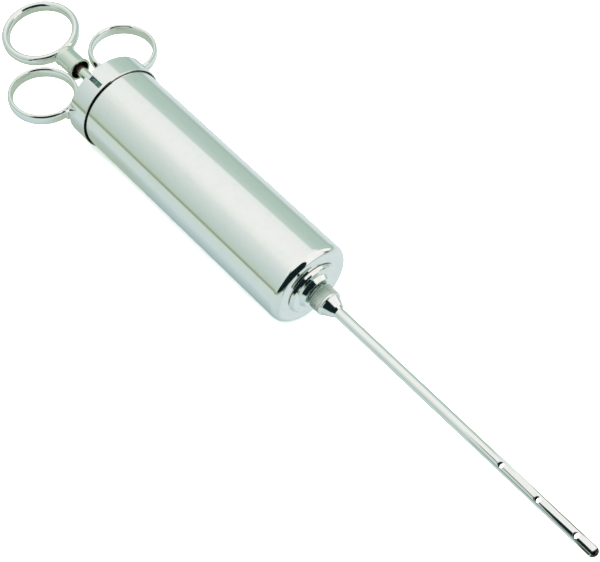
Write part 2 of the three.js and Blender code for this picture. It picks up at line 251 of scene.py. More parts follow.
def revolve(name, profile, segments=SMALL, relief=None):
    """A turned piece. relief(station, radius, angle) gives a radius that varies with angle."""
    stations = np.array([p[0] for p in profile])[:, None]
    radii = np.array([p[1] for p in profile])[:, None]
    angles = (np.arange(segments) * 2 * pi / segments)[None, :]
    stations, radii, angles = np.broadcast_arrays(stations, radii, angles)
    if relief:
        radii = relief(stations, radii, angles)
    grid = np.stack([stations, radii * np.cos(angles), radii * np.sin(angles)], axis=-1)
    rows = [i for i, p in enumerate(profile) if p[1] > 1e-6]
    points = grid[rows].reshape(-1, 3)
    index = np.arange(len(points)).reshape(len(rows), segments)
    if len(rows) == len(profile):
        index = np.vstack([index, index[:1]])
    along = np.roll(index, -1, axis=1)
    quads = np.stack([index[:-1], along[:-1], along[1:], index[1:]], axis=-1)
    faces = quads.reshape(-1, 4).tolist()
    for end, row in ((0, 0), (-1, -1)):
        if profile[end][1] <= 1e-6:
            pole = len(points)
            points = np.vstack([points, [(profile[end][0], 0, 0)]])
            faces += [(int(a), int(b), pole) for a, b in zip(index[row], along[row])]
    return make(name, points, faces)


def prism(name, outline, low, high, turn=0.0):
    """An outline in X and Y pushed along Z, then turned about the barrel's axis."""
    count = len(outline)
    a = radians(turn)
    points = [
        (x, y * cos(a) - z * sin(a), y * sin(a) + z * cos(a))
        for z in (low, high)
        for x, y in outline
    ]
    faces = [tuple(range(count)), tuple(range(count, 2 * count))]
    faces += [
        (i, (i + 1) % count, count + (i + 1) % count, count + i) for i in range(count)
    ]
    return make(name, points, faces)


def drill(r, low, high, station, turn):
    """A cutter for a round hole, from radius low to radius high along one spoke."""
    steps = 48
    outline = [
        (station + r * cos(2 * pi * i / steps), r * sin(2 * pi * i / steps))
        for i in range(steps)
    ]
    return prism("drill", outline, low, high, turn)


def carve(obj, cutters, operation="DIFFERENCE"):
    """obj with each cutter taken away, and the result kept as its mesh."""
    for cutter in cutters:
        modifier = obj.modifiers.new("carve", "BOOLEAN")
        modifier.operation = operation
        modifier.solver = "EXACT"
        modifier.object = cutter
        depsgraph = bpy.context.evaluated_depsgraph_get()
        mesh = bpy.data.meshes.new_from_object(obj.evaluated_get(depsgraph))
        obj.modifiers.clear()
        obj.data = mesh
        bpy.data.objects.remove(cutter)
    return smooth(obj)


def bevel(obj, width, segments=5, limit=35):
    """obj with its sharp edges rounded."""
    modifier = obj.modifiers.new("bevel", "BEVEL")
    modifier.width = width * MM
    modifier.segments = segments
    modifier.angle_limit = radians(limit)
    modifier.harden_normals = False
    depsgraph = bpy.context.evaluated_depsgraph_get()
    mesh = bpy.data.meshes.new_from_object(obj.evaluated_get(depsgraph))
    obj.modifiers.clear()
    obj.data = mesh
    return smooth(obj)


def superellipse(width, height, squareness, count=56):
    """Evenly spaced points of a section with flat sides and domed ends."""
    fine = np.linspace(0, 2 * pi, 2001)
    across = width / 2 * np.sign(np.cos(fine)) * np.abs(np.cos(fine)) ** squareness
    up = height / 2 * np.sign(np.sin(fine)) * np.abs(np.sin(fine)) ** squareness
    length = np.concatenate([[0], np.cumsum(np.hypot(np.diff(across), np.diff(up)))])
    even = np.linspace(0, length[-1], count, endpoint=False)
    return np.interp(even, length, across), np.interp(even, length, up)


def flat_ring(name, node, section, squareness, twist=0.0):
    """A finger or thumb ring about its own Z axis, turned about the barrel's axis by twist."""
    steps = 224
    low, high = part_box(node)
    centre_x = ((low.x + high.x) / 2 - SEAM) / MM
    centre_y = (low.y + high.y) / 2 / MM
    middle = (high.x - low.x) / 2 / MM - section / 2
    across, up = superellipse(section, RING_HEIGHT, squareness)
    angles = (np.arange(steps) * 2 * pi / steps)[:, None]
    x = centre_x + (middle + across[None, :]) * np.cos(angles)
    y = centre_y + (middle + across[None, :]) * np.sin(angles)
    z = np.broadcast_to(up[None, :], x.shape)
    a = radians(twist)
    points = np.stack([x, y * cos(a) - z * sin(a), y * sin(a) + z * cos(a)], axis=-1)
    index = np.arange(steps * len(up)).reshape(steps, len(up))
    ahead = np.roll(index, -1, axis=0)
    quads = np.stack(
        [index, ahead, np.roll(ahead, -1, axis=1), np.roll(index, -1, axis=1)], axis=-1
    )
    return make(name, points.reshape(-1, 3), quads.reshape(-1, 4).tolist())


def triangle_wave(phase):
    """1 at whole numbers and 0 half way between them."""
    return np.abs((phase % 1.0) * 2 - 1)


def thread_relief(first, last, root, depth):
    """A right-hand thread between two stations of a bore or a bolt."""

    def relief(station, radii, angle):
        wave = triangle_wave(station / THREAD_PITCH - angle / (2 * pi))
        wave = np.clip(wave * 1.3 - 0.15, 0, 1)
        fade = np.clip(np.minimum(station - first, last - station) / 0.5, 0, 1)
        here = np.abs(radii - root) < 0.01
        return np.where(here, radii + depth * wave * fade, radii)

    return relief


def levels(first, last, step):
    """Stations from first to last, about step apart."""
    return np.linspace(first, last, max(2, int(round(abs(last - first) / step)) + 1))


# ------------------------------------------------------------------ barrel


def slot_outline(rear, front, width):
    """A slot open at the rear, with rounded corners at its front end."""
    half = width / 2
    points = [(rear, -half)]
    for corner, start in ((-1, -90), (1, 0)):
        for k in range(7):
            a = radians(start + 15 * k)
            x = front - SLOT_CORNER + SLOT_CORNER * cos(a)
            points.append((x, corner * (half - SLOT_CORNER) + SLOT_CORNER * sin(a)))
    points.append((rear, half))
    return points


def slots(rear, front, width, angle):
    """Cutters for a pair of slots on opposite sides of the barrel."""
    outline = slot_outline(rear, front, width)
    return [
        prism("slot", outline, BARREL_R - 3, BARREL_R + 3, angle + turn) for turn in (0, 180)
    ]


def cross_legs():
    """Cutters for the part of each bayonet slot that runs round the barrel."""
    cutters = []
    steps = 24
    half = degrees(SLOT_WIDTH / 2 / BARREL_R)
    for turn in (0, 180):
        points = []
        for k in range(steps + 1):
            a = radians(SLOT_ANGLE - half + turn + (90 - SLOT_ANGLE + 2 * half) * k / steps)
            for x in (SLOT_END - SLOT_WIDTH, SLOT_END):
                for r in (BARREL_R - 2, BARREL_R + 1):
                    points.append((x, -r * sin(a), r * cos(a)))
        faces = [(0, 1, 3, 2), tuple(4 * steps + i for i in (0, 1, 3, 2))]
        for k in range(steps):
            i = 4 * k
            for a, b in ((0, 1), (1, 3), (3, 2), (2, 0)):
                faces.append((i + a, i + b, i + 4 + b, i + 4 + a))
        cutters.append(make("leg", points, faces))
    return cutters


def build_barrel():
    inner = BARREL_R - BARREL_WALL
    hole = SHANK_R + FIXED
    profile = rounded([
        (BARREL_REAR, inner, 0.2),
        (BARREL_REAR, BARREL_R, 0.2),
        (BARREL_FRONT, BARREL_R, SHOULDER),
        (BARREL_FRONT, hole),
        (BARREL_FRONT - FRONT_WALL, hole),
        (BARREL_FRONT - FRONT_WALL, inner, SHOULDER - BARREL_WALL),
    ], steps=20)
    tube = revolve("barrel", profile, FINE)
    return carve(tube, slots(BARREL_REAR - 2, SLOT_END, SLOT_WIDTH, SLOT_ANGLE) + cross_legs())


def build_collar():
    inner = BARREL_R + FIXED
    profile = rounded([
        (COLLAR_REAR, inner, 0.15),
        (COLLAR_REAR, COLLAR_R, COLLAR_EDGE),
        (COLLAR_FRONT, COLLAR_R, COLLAR_EDGE),
        (COLLAR_FRONT, inner + COLLAR_GROOVE, 0.1),
        (COLLAR_FRONT - 0.8, inner),
    ])
    collar = revolve("collar", profile, FINE)
    behind = COLLAR_REAR - 1
    cutters = slots(behind, SLOT_END, SLOT_WIDTH, SLOT_ANGLE)
    cutters += slots(behind, COLLAR_REAR + SLOT_MOUTH_DEPTH, SLOT_MOUTH, SLOT_MOUTH_ANGLE)
    return carve(collar, cutters)


def build_nozzle():
    root = THREAD_R - THREAD_DEPTH
    first = SPIGOT_END + THREAD_RUNOUT - THREAD_PITCH / 2
    profile = rounded([
        (NOZZLE_REAR, BORE_R, 0.2),
        (NOZZLE_REAR, SHANK_R, 0.2),
        (BARREL_FRONT, SHANK_R),
        (BARREL_FRONT, FLANGE_R + SOLDER),
        (BARREL_FRONT + 0.1, FLANGE_R + SOLDER / 3, 0.1),
        (BARREL_FRONT + SOLDER, FLANGE_R, 0.2),
        (FLANGE_TOP - 0.45, FLANGE_R - 0.35, 0.5),
        (FLANGE_TOP, FLANGE_TOP_R, 0.35),
        (FLANGE_TOP, SPIGOT_BASE_R, 0.25),
        (SPIGOT_END, SPIGOT_R, 0.35),
        (SPIGOT_END, root, 0.15),
    ])
    threaded = levels(SPIGOT_END + 0.3, NOZZLE_END - 0.4, THREAD_STEP)
    profile += [(x, root) for x in threaded]
    profile += rounded([
        (NOZZLE_END - 0.2, root),
        (NOZZLE_END, root - 0.3, 0.1),
        (NOZZLE_END, BORE_R, 0.15),
        (NOZZLE_REAR + 1, BORE_R),
    ], closed=False)
    relief = thread_relief(first, NOZZLE_END - 0.3, root, THREAD_DEPTH)
    return revolve("outlet", profile, SMALL, relief)


# ------------------------------------------------------------------ cap and finger rings


def build_cap():
    skirt = CAP_R - CAP_SKIRT
    bore = BUSH_R + FIXED
    plate_front = CAP_REAR + CAP_PLATE
    cap = revolve("cap", rounded([
        (CAP_REAR, bore),
        (CAP_REAR, CAP_R, 0.3),
        (CAP_FRONT, CAP_R, 0.3),
        (CAP_FRONT, skirt, 0.3),
        (plate_front, skirt, 0.6),
        (plate_front, bore),
    ]), FINE)
    holes = [
        drill(PIN_R + FIXED, skirt - 1, CAP_R + 1, PIN_STATION, 90 + turn) for turn in (0, 180)
    ]
    return carve(cap, holes)


def build_pin(name, side):
    """A pin whose outer end is slightly domed."""
    foot = CAP_R - CAP_SKIRT + 0.05
    pin = revolve(name, rounded([
        (foot, 0),
        (foot, PIN_R, 0.1),
        (PIN_TIP_R - 0.1, PIN_R, 0.2),
        (PIN_TIP_R, 0),
    ], closed=False, steps=6), 48)
    points = np.array([v.co for v in pin.data.vertices]) - np.array((SEAM, 0, AXIS_Z))
    placed = np.stack([
        points[:, 1] + SEAM + PIN_STATION * MM,
        side * points[:, 0],
        points[:, 2] + AXIS_Z,
    ], axis=-1)
    pin.data.vertices.foreach_set("co", placed.ravel())
    return smooth(pin)


def build_foot(name, side):
    """The web between the cap and a finger ring. It runs into the middle of the ring's bar."""
    low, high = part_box("finger_ring_left")
    ring_x = ((low.x + high.x) / 2 - SEAM) / MM
    ring_y = (low.y + high.y) / 2 / MM
    seat = (high.x - low.x) / 2 / MM - FINGER_SECTION / 2
    first = asin((FOOT_OUTER_Y - ring_y) / seat)
    last = asin((FOOT_INNER_Y - ring_y) / seat)
    plate_rear = CAP_REAR - FIXED
    collar_rear = COLLAR_REAR - 0.3
    outline = [
        (plate_rear, FOOT_INNER_Y),
        (plate_rear, CAP_R - 0.3),
        (collar_rear, CAP_R),
        (collar_rear, FOOT_OUTER_Y),
    ]
    steps = 24
    for k in range(steps + 1):
        a = first + (last - first) * k / steps
        outline.append((ring_x + seat * cos(a), ring_y + seat * sin(a)))
    outline = [(x, side * y) for x, y in outline]
    foot = prism(name, outline, -FOOT_HEIGHT / 2, FOOT_HEIGHT / 2)
    return bevel(foot, FOOT_EDGE)


def build_bush():
    bore = ROD_R + FIT
    flange_rear = CAP_REAR - BUSH_FLANGE
    seat_floor = BUSH_FRONT - PACKING_SEAT
    return revolve("bush", rounded([
        (BUSH_REAR, bore, 0.15),
        (BUSH_REAR, BUSH_NOSE_R, 0.7),
        (flange_rear, BUSH_NOSE_R, 0.3),
        (flange_rear, BUSH_FLANGE_R, 0.4),
        (CAP_REAR, BUSH_FLANGE_R, 0.1),
        (CAP_REAR, BUSH_R),
        (BUSH_FRONT, BUSH_R, 0.3),
        (BUSH_FRONT, PACKING_R + FIT, 0.2),
        (seat_floor, PACKING_R + FIT, 0.1),
        (seat_floor, bore),
    ]))


def build_packing():
    """Pressed leather, slightly crowned at its two faces."""
    bore = ROD_R + FIT
    middle = (PACKING_R + bore) / 2
    return revolve("packing_washer", rounded([
        (PACKING_REAR + 0.12, bore, 0.2),
        (PACKING_REAR, middle, 0.5),
        (PACKING_REAR + 0.12, PACKING_R, 0.25),
        (PACKING_FRONT - 0.12, PACKING_R, 0.25),
        (PACKING_FRONT, middle, 0.5),
        (PACKING_FRONT - 0.12, bore, 0.2),
    ]), 96)


# ------------------------------------------------------------------ plunger and piston


def build_rod():
    """The rod, threaded at its front end under the piston's nuts."""
    first = span("piston_lock_nut")[0] - 2.5
    last = ROD_FRONT - 0.5
    root = ROD_R - ROD_THREAD_DEPTH
    profile = rounded([
        (ROD_REAR, 0),
        (ROD_REAR, ROD_R, 0.3),
        (first - 0.4, ROD_R, 0.1),
        (first, root, 0.1),
        (first + 0.2, root),
    ], closed=False)
    profile += [(x, root) for x in levels(first + 0.3, last - 0.1, THREAD_STEP)]
    profile += rounded([
        (last, root),
        (ROD_FRONT, root - 0.4, 0.15),
        (ROD_FRONT, 0),
    ], closed=False)
    return revolve("rod", profile, 96, thread_relief(first, last, root, ROD_THREAD_DEPTH))


def build_hub():
    """The thumb ring's hub: a rim round a deep recess, and a flare that runs into the ring."""
    floor = HUB_FRONT - HUB_RECESS
    boss = HUB_REAR - 2.0
    return revolve("hub", rounded([
        (boss, 0),
        (boss, 2.5, 0.8),
        (HUB_REAR - 0.7, 4.3, 1.0),
        (HUB_REAR + 0.2, HUB_ROOT_R, 0.6),
        (HUB_REAR + HUB_ROOT, HUB_R, 0.6),
        (HUB_FRONT - HUB_RIM - 0.2, HUB_R, 0.3),
        (HUB_FRONT - HUB_RIM, HUB_RIM_R, 0.35),
        (HUB_FRONT, HUB_RIM_R, 0.35),
        (HUB_FRONT, HUB_RECESS_R, 0.3),
        (floor, HUB_RECESS_R - 0.2, 0.5),
        (floor, ROD_R + FIXED, 0.05),
        (ROD_REAR - 0.1, ROD_R + FIXED),
        (ROD_REAR - 0.1, 0),
    ], closed=False))


def build_plate(name, node, facets, edge=0.3):
    rear, front = span(node)
    outer = radius(node, facets)
    bore = ROD_R + FIT
    return revolve(name, rounded([
        (rear, bore, 0.15),
        (rear, outer, edge),
        (front, outer, edge),
        (front, bore, 0.15),
    ]), FINE)


def build_cup(name, node, forward):
    """A pressed leather cup: rounded base edge, and a lip that flares and thins."""
    rear, front = span(node)
    base, side = (rear, 1) if forward else (front, -1)
    bore = ROD_R + FIT
    depth = front - rear

    def at(offset):
        return base + side * offset

    def relief(station, radii, angle):
        away = np.abs(station - base) / depth
        ripple = np.sin(angle * 7 + 0.6) + 0.6 * np.sin(angle * 11 + 2.1)
        return radii - CUP_RIPPLE * (ripple * 0.5 + 0.8) * away * (radii > CUP_R - 2)

    corners = [
        (at(0), bore, 0.2),
        (at(0), CUP_R - 0.25, 1.4),
        (at(CUP_DEPTH_MIDDLE), CUP_R - 0.1, 1.5),
        (at(depth - 0.8), CUP_R, 0.6),
        (at(depth), CUP_R - 0.2, 0.12),
        (at(depth - 0.1), CUP_R - CUP_WALL * 0.6, 0.15),
        (at(CUP_BASE), CUP_R - CUP_WALL, 0.9),
        (at(CUP_BASE), bore, 0.2),
    ]
    return revolve(name, rounded(corners), FINE, relief)


def build_nut(name, node):
    """A hexagonal nut with turned corners."""
    rear, front = span(node)
    corner = NUT_FLATS / 2 / cos(pi / 6)
    points = [
        (x, corner * cos(i * pi / 3), corner * sin(i * pi / 3))
        for x in (rear, front)
        for i in range(6)
    ]
    faces = [tuple(range(6)), tuple(range(6, 12))]
    faces += [(i, (i + 1) % 6, 6 + (i + 1) % 6, 6 + i) for i in range(6)]
    nut = make(name, points, faces)
    crown = revolve("crown", rounded([
        (rear, 0),
        (rear, NUT_FLATS / 2 - 0.1),
        (rear + 0.5, corner + 0.2),
        (front - 0.5, corner + 0.2),
        (front, NUT_FLATS / 2 - 0.1),
        (front, 0),
    ], closed=False), 96)
    nut = carve(nut, [crown], "INTERSECT")
    bore = revolve("bore", rounded([
        (rear - 1, 0),
        (rear - 1, ROD_R + NUT_BORE_FLARE),
        (rear + 0.4, ROD_R + 0.03),
        (front - 0.4, ROD_R + 0.03),
        (front + 1, ROD_R + NUT_BORE_FLARE),
        (front + 1, 0),
    ], closed=False), 96)
    return bevel(carve(nut, [bore]), 0.08, 2)


# ------------------------------------------------------------------ needle


def knurl(station, radii, angle):
    """Diamond knurling: two crossing sets of grooves."""
    first, last = NUT_REAR + 0.8, KNURL_END
    around = angle * KNURL_TEETH / (2 * pi)
    left = 1 - triangle_wave(around + station / KNURL_PITCH / 2)
    right = 1 - triangle_wave(around - station / KNURL_PITCH / 2)
    height = np.clip(np.minimum(left, right) * 1.5, 0, 1)
    fade = np.clip(np.minimum(station - first, last - station) / 0.25, 0, 1)
    here = (np.abs(radii - KNURL_R) < 0.01) & (fade > 0)
    return np.where(here, radii - KNURL_DEPTH * (1 - height) * fade, radii)


def build_needle_nut():
    """The knurled nut, its cone, and the threaded bore that takes the nozzle."""
    crest = THREAD_R - THREAD_DEPTH + 0.12
    outer = rounded([
        (NUT_REAR, NUT_BORE_R, 0.2),
        (NUT_REAR, NUT_REAR_R, 0.3),
        (NUT_REAR + 0.75, KNURL_R, 0.3),
        (NUT_REAR + 0.9, KNURL_R),
    ], closed=False)
    knurled = [(x, KNURL_R) for x in levels(NUT_REAR + 0.95, KNURL_END, 0.052)]
    front = rounded([
        (KNURL_END + 0.05, KNURL_R),
        (NUT_END, KNURL_R - 0.02, 0.5),
        (NUT_END + 0.15, CONE_R, 0.15),
        (CONE_END - 1.0, CONE_TIP_R + 0.25, 1.2),
        (CONE_END, NEEDLE_R + 0.12, 0.1),
        (CONE_END, NEEDLE_R + 0.01),
        (NUT_FLOOR, NEEDLE_R + 0.01),
        (NUT_FLOOR, crest, 0.1),
    ], closed=False)
    bore = [(x, crest) for x in levels(NUT_FLOOR - 0.2, NUT_REAR + 0.5, THREAD_STEP)]

    def relief(station, radii, angle):
        radii = knurl(station, radii, angle)
        return thread_relief(NUT_REAR + 0.5, NUT_FLOOR, crest, THREAD_DEPTH)(
            station, radii, angle
        )

    return revolve("needle_hub", outer + knurled + front + bore, KNURL_TEETH * 8, relief)


def build_needle():
    beside = [station + side for station in HOLES for side in HOLE_LOOPS]
    profile = rounded([
        (NEEDLE_REAR, NEEDLE_BORE_R, 0.1),
        (NEEDLE_REAR, NEEDLE_R, 0.1),
        (NEEDLE_SHOULDER, NEEDLE_R),
    ], closed=False)[:-1]
    profile += [(station, NEEDLE_R) for station in beside]
    profile += [(NEEDLE_SHOULDER, NEEDLE_R), (NEEDLE_SHOULDER, NEEDLE_BORE_R)]
    profile += [(station, NEEDLE_BORE_R) for station in reversed(beside)]
    tube = revolve("needle", profile, 96)
    reach = NEEDLE_R + 1
    cutters = [drill(HOLE_R, -reach, reach, station, HOLE_ANGLE) for station in HOLES]
    return bevel(carve(tube, cutters), HOLE_EDGE, 3)


def build_tip():
    """The closed tip: a plug in the tube, and a nose that carries on the tube's outside."""
    steps = 20
    rear = NEEDLE_SHOULDER - 3.5
    nose = NEEDLE_TIP - NEEDLE_SHOULDER
    profile = rounded([
        (rear, 0),
        (rear, NEEDLE_BORE_R - FIXED, 0.2),
        (NEEDLE_SHOULDER, NEEDLE_BORE_R - FIXED),
    ], closed=False)
    profile.append((NEEDLE_SHOULDER, NEEDLE_R))
    for k in range(1, steps + 1):
        a = k * pi / 2 / steps
        r = NEEDLE_R * cos(a) if k < steps else 0
        profile.append((NEEDLE_SHOULDER + nose * sin(a), r))
    return revolve("tip", profile, 96)


# ------------------------------------------------------------------ materials


class Graph:
    """A short way to write a node tree."""

    def __init__(self, owner):
        owner.use_nodes = True
        self.tree = owner.node_tree
        self.tree.nodes.clear()

    def feed(self, socket, value):
        if isinstance(value, bpy.types.NodeSocket):
            self.tree.links.new(value, socket)
        else:
            socket.default_value = value

    def add(self, kind, inputs=None, **settings):
        node = self.tree.nodes.new("ShaderNode" + kind)
        for key, value in settings.items():
            setattr(node, key, value)
        for key, value in (inputs or {}).items():
            self.feed(node.inputs[key], value)
        return node

    def math(self, operation, *values):
        node = self.add("Math", operation=operation)
        for socket, value in zip(node.inputs, values):
            self.feed(socket, value)
        return node.outputs[0]

    def vector(self, operation, *values):
        node = self.add("VectorMath", operation=operation)
        for socket, value in zip(node.inputs, values):
            self.feed(socket, value)
        return node.outputs[0]

    def scale(self, vector, factor):
        return self.add("VectorMath", {0: vector, "Scale": factor}, operation="SCALE").outputs[0]

    def split(self, vector):
        return self.add("SeparateXYZ", {0: vector}).outputs[:3]

    def join(self, x, y, z):
        return self.add("CombineXYZ", {0: x, 1: y, 2: z}).outputs[0]

    def step(self, value, low, high, first=0.0, last=1.0):
        """Goes smoothly from first to last as value goes from low to high."""
        node = self.add("MapRange", interpolation_type="SMOOTHSTEP")
        for socket, number in zip(node.inputs, (value, low, high, first, last)):
            self.feed(socket, number)
        return node.outputs[0]

    def mix(self, factor, first, second):
        node = self.add("Mix", data_type="RGBA")
        for socket, value in zip((node.inputs[0], node.inputs[6], node.inputs[7]),
                                 (factor, first, second)):
            self.feed(socket, value)
        return node.outputs[2]

    def noise(self, vector, scale, detail=2.0, roughness=0.5):
        inputs = {"Vector": vector, "Scale": scale, "Detail": detail, "Roughness": roughness}
        return self.add("TexNoise", inputs).outputs[0]

    def ramp(self, factor, stops):
        """Colours at elevations in degrees, for a factor of 0 at -90 and 1 at 90."""
        node = self.add("ValToRGB", {0: factor})
        elements = node.color_ramp.elements
        while len(elements) < len(stops):
            elements.new(0.5)
        for element, (angle, colour) in zip(elements, stops):
            element.position = (angle + 90) / 180
            element.color = colour
        return node.outputs[0]

    def surface(self, inputs):
        shader = self.add("BsdfPrincipled", inputs)
        output = self.add("OutputMaterial")
        self.tree.links.new(shader.outputs[0], output.inputs["Surface"])


def grey(value, tint=(1, 1, 1)):
    return (value * tint[0], value * tint[1], value * tint[2], 1)


def place_in_mm(g):
    """Where a point of the surface is, in millimetres from the barrel's axis at the seam."""
    here = g.add("TexCoord").outputs["Object"]
    return g.scale(g.vector("SUBTRACT", here, (SEAM, 0.0, AXIS_Z)), 1 / MM)


def round_axis(g, place):
    """A place drawn out round the barrel's axis, so that noise on it makes turned lines."""
    x, y, z = g.split(place)
    r = g.math("SQRT", g.math("ADD", g.math("MULTIPLY", y, y), g.math("MULTIPLY", z, z)))
    return g.join(x, r, g.math("MULTIPLY", y, 0.03))


def nickel(name, colour, base=0.06, turned=True, swell=0.010, pitch=13.0, soil_and_shade=None):
    """Bright nickel plate: polishing lines, a slight swell, smudges and softened edges.
    The last argument (graph, place, radius) gives how much of a soil, wear or painted-shade colour
    lies at a place, and that colour."""
    material = bpy.data.materials.new(name)
    g = Graph(material)
    place = place_in_mm(g)
    lines_at = round_axis(g, place) if turned else place
    lines = g.noise(lines_at, 1.6, 3.0, 0.6)
    hair = g.noise(g.vector("MULTIPLY", place, (0.12, 2.2, 2.2)), 2.4, 3.0, 0.7)
    scratch = g.step(hair, 0.66, 0.74)
    smudge = g.step(g.noise(place, 0.16, 4.0, 0.62), 0.48, 0.72)
    edge = g.math("MULTIPLY", g.add("Attribute", attribute_name="edge").outputs["Fac"],
                  g.step(g.noise(place, 0.9, 3.0, 0.6), 0.35, 0.65, 0.3, 1.0))
    rough = g.math("ADD", base, g.math("MULTIPLY", smudge, 0.045))
    rough = g.math("ADD", rough, g.math("MULTIPLY", lines, 0.02))
    rough = g.math("ADD", rough, g.math("MULTIPLY", scratch, 0.05))
    rough = g.math("ADD", rough, g.math("MULTIPLY", edge, 0.05))
    warm = (colour[0] * 0.985, colour[1] * 0.955, colour[2] * 0.90, 1)
    dull = (colour[0] * 0.965, colour[1] * 0.968, colour[2] * 0.965, 1)
    tone = g.mix(g.math("MULTIPLY", smudge, 0.8), (*colour, 1), dull)
    tone = g.mix(g.math("MULTIPLY", edge, 0.55), tone, warm)
    if soil_and_shade:
        # soil, wear or painted shade from the last argument, broken up by noise
        soil_and_shade_mask, soil_and_shade_colour = soil_and_shade(g, place, g.split(round_axis(g, place))[1])
        soil_and_shade_mask = g.math("MULTIPLY", soil_and_shade_mask, g.step(g.noise(place, 1.3, 3.0, 0.6), 0.25, 0.6, 0.7, 1.0))
        tone = g.mix(soil_and_shade_mask, tone, soil_and_shade_colour)
        rough = g.math("ADD", rough, g.math("MULTIPLY", soil_and_shade_mask, 0.25))
    broad = g.math("MULTIPLY", g.noise(place, 1 / pitch, 1.0, 0.4), swell)
    fine = g.math("MULTIPLY", lines, 0.0006)
    height = g.math("ADD", broad, fine)
    bump = g.add("Bump", {"Height": height, "Distance": MM, "Strength": 1.0})
    g.surface({
        "Base Color": tone,
        "Metallic": 1.0,
        "Roughness": rough,
        "Normal": bump.outputs[0],
    })
    return material


def brass():
    material = bpy.data.materials.new("turned_brass")
    g = Graph(material)
    place = place_in_mm(g)
    lines = g.noise(round_axis(g, place), 5.0, 3.0, 0.65)
    tarnish = g.step(g.noise(place, 0.5, 5.0, 0.65), 0.42, 0.72)
    edge = g.add("Attribute", attribute_name="edge").outputs["Fac"]
    tone = g.mix(tarnish, (0.80, 0.60, 0.27, 1), (0.52, 0.34, 0.14, 1))
    tone = g.mix(g.math("MULTIPLY", edge, 0.5), tone, (0.90, 0.72, 0.38, 1))
    rough = g.math("ADD", 0.2, g.math("MULTIPLY", tarnish, 0.2))
    rough = g.math("ADD", rough, g.math("MULTIPLY", lines, 0.1))
    bump = g.add("Bump", {"Height": g.math("MULTIPLY", lines, 0.006), "Distance": MM})
    g.surface({"Base Color": tone, "Metallic": 1.0, "Roughness": rough, "Normal": bump.outputs[0]})
    return material


def leather():
    material = bpy.data.materials.new("greased_leather")
    g = Graph(material)
    place = place_in_mm(g)
    cells = g.add("TexVoronoi", {"Vector": place, "Scale": 1.7}, feature="DISTANCE_TO_EDGE")
    grain = g.step(cells.outputs[0], 0.0, 0.16)
    blotch = g.noise(place, 0.25, 5.0, 0.6)
    fibre = g.noise(place, 6.0, 4.0, 0.7)
    edge = g.add("Attribute", attribute_name="edge").outputs["Fac"]
    tone = g.mix(g.step(blotch, 0.35, 0.68), (0.36, 0.19, 0.085, 1), (0.20, 0.095, 0.04, 1))
    tone = g.mix(g.math("MULTIPLY", g.math("SUBTRACT", 1.0, grain), 0.6), tone,
                 (0.10, 0.05, 0.025, 1))
    tone = g.mix(g.math("MULTIPLY", edge, 0.35), tone, (0.11, 0.055, 0.03, 1))
    rough = g.step(blotch, 0.3, 0.7, 0.62, 0.38)
    height = g.math("ADD", g.math("MULTIPLY", grain, 0.07), g.math("MULTIPLY", fibre, 0.05))
    bump = g.add("Bump", {"Height": height, "Distance": MM})
    g.surface({
        "Base Color": tone,
        "Roughness": rough,
        "Normal": bump.outputs[0],
        "Sheen Weight": 0.15,
        "Sheen Roughness": 0.5,
    })
    return material


def rubber():
    material = bpy.data.materials.new("washer_rubber")
    g = Graph(material)
    place = place_in_mm(g)
    bloom = g.step(g.noise(place, 0.9, 5.0, 0.6), 0.45, 0.75)
    pits = g.noise(place, 14.0, 3.0, 0.6)
    tone = g.mix(bloom, (0.022, 0.024, 0.026, 1), (0.06, 0.062, 0.064, 1))
    rough = g.math("ADD", 0.5, g.math("MULTIPLY", bloom, 0.25))
    bump = g.add("Bump", {"Height": g.math("MULTIPLY", pits, 0.02), "Distance": MM})
    g.surface({"Base Color": tone, "Roughness": rough, "Normal": bump.outputs[0]})
    return material


def close_to(g, value, middle, reach, fade):
    """1 within reach of middle, and 0 further than fade beyond it."""
    return g.step(g.math("ABSOLUTE", g.math("SUBTRACT", value, middle)), reach + fade, reach)


def groove_grease_and_shade(g, place, radial):
    """Polish and grease left in the groove at the collar, with painted shade that is wider and
    darker on the near side, and a painted dark line along the top of the flange's foot."""
    station, y, z = g.split(place)
    near = g.step(y, 0, -17)
    spread = g.math("ADD", 0.02, g.math("MULTIPLY", near, 0.38))
    off_edge = g.math("ABSOLUTE", g.math("SUBTRACT", station, COLLAR_FRONT))
    off_tube = g.math("ABSOLUTE", g.math("SUBTRACT", radial, BARREL_R))
    at_collar = g.math(
        "MULTIPLY",
        g.step(g.math("SUBTRACT", off_edge, spread), 0.3, 0.05),
        g.step(g.math("SUBTRACT", off_tube, spread), COLLAR_GROOVE, COLLAR_GROOVE - 0.25),
    )
    top = radians(22)
    upward = g.math("SUBTRACT", g.math("MULTIPLY", z, cos(top)), g.math("MULTIPLY", y, sin(top)))
    at_flange = g.math("MULTIPLY", close_to(g, station, BARREL_FRONT, 0.15, 0.2),
                       close_to(g, radial, FLANGE_R + SOLDER, 0.2, 0.2))
    at_flange = g.math("MULTIPLY", at_flange, g.step(g.math("DIVIDE", upward, radial), 0.2, 0.5))
    # painted shade with grease: near black on the near side, olive on the far side
    tone = g.mix(near, (0.10, 0.09, 0.04, 1), (0.03, 0.035, 0.022, 1))
    return g.math("MAXIMUM", at_collar, at_flange), tone


def skirt(g, place, radial):
    """Painted shade on the cap's skirt where it shows through the slots: dark navy at the rear,
    teal further forward.
    """
    outside = g.step(radial, CAP_R - 0.5, CAP_R - 0.2)
    depth = g.step(g.split(place)[0], CAP_REAR + 0.6, CAP_REAR + 3.5)
    return outside, g.mix(depth, (0.010, 0.040, 0.080, 1), (0.055, 0.165, 0.150, 1))


def worn_rod(g, place, radial):
    """The plate is worn through to the brass where the rod goes into the hub."""
    return close_to(g, g.split(place)[0], HUB_FRONT, 0.8, 1.6), (0.56, 0.37, 0.23, 1)


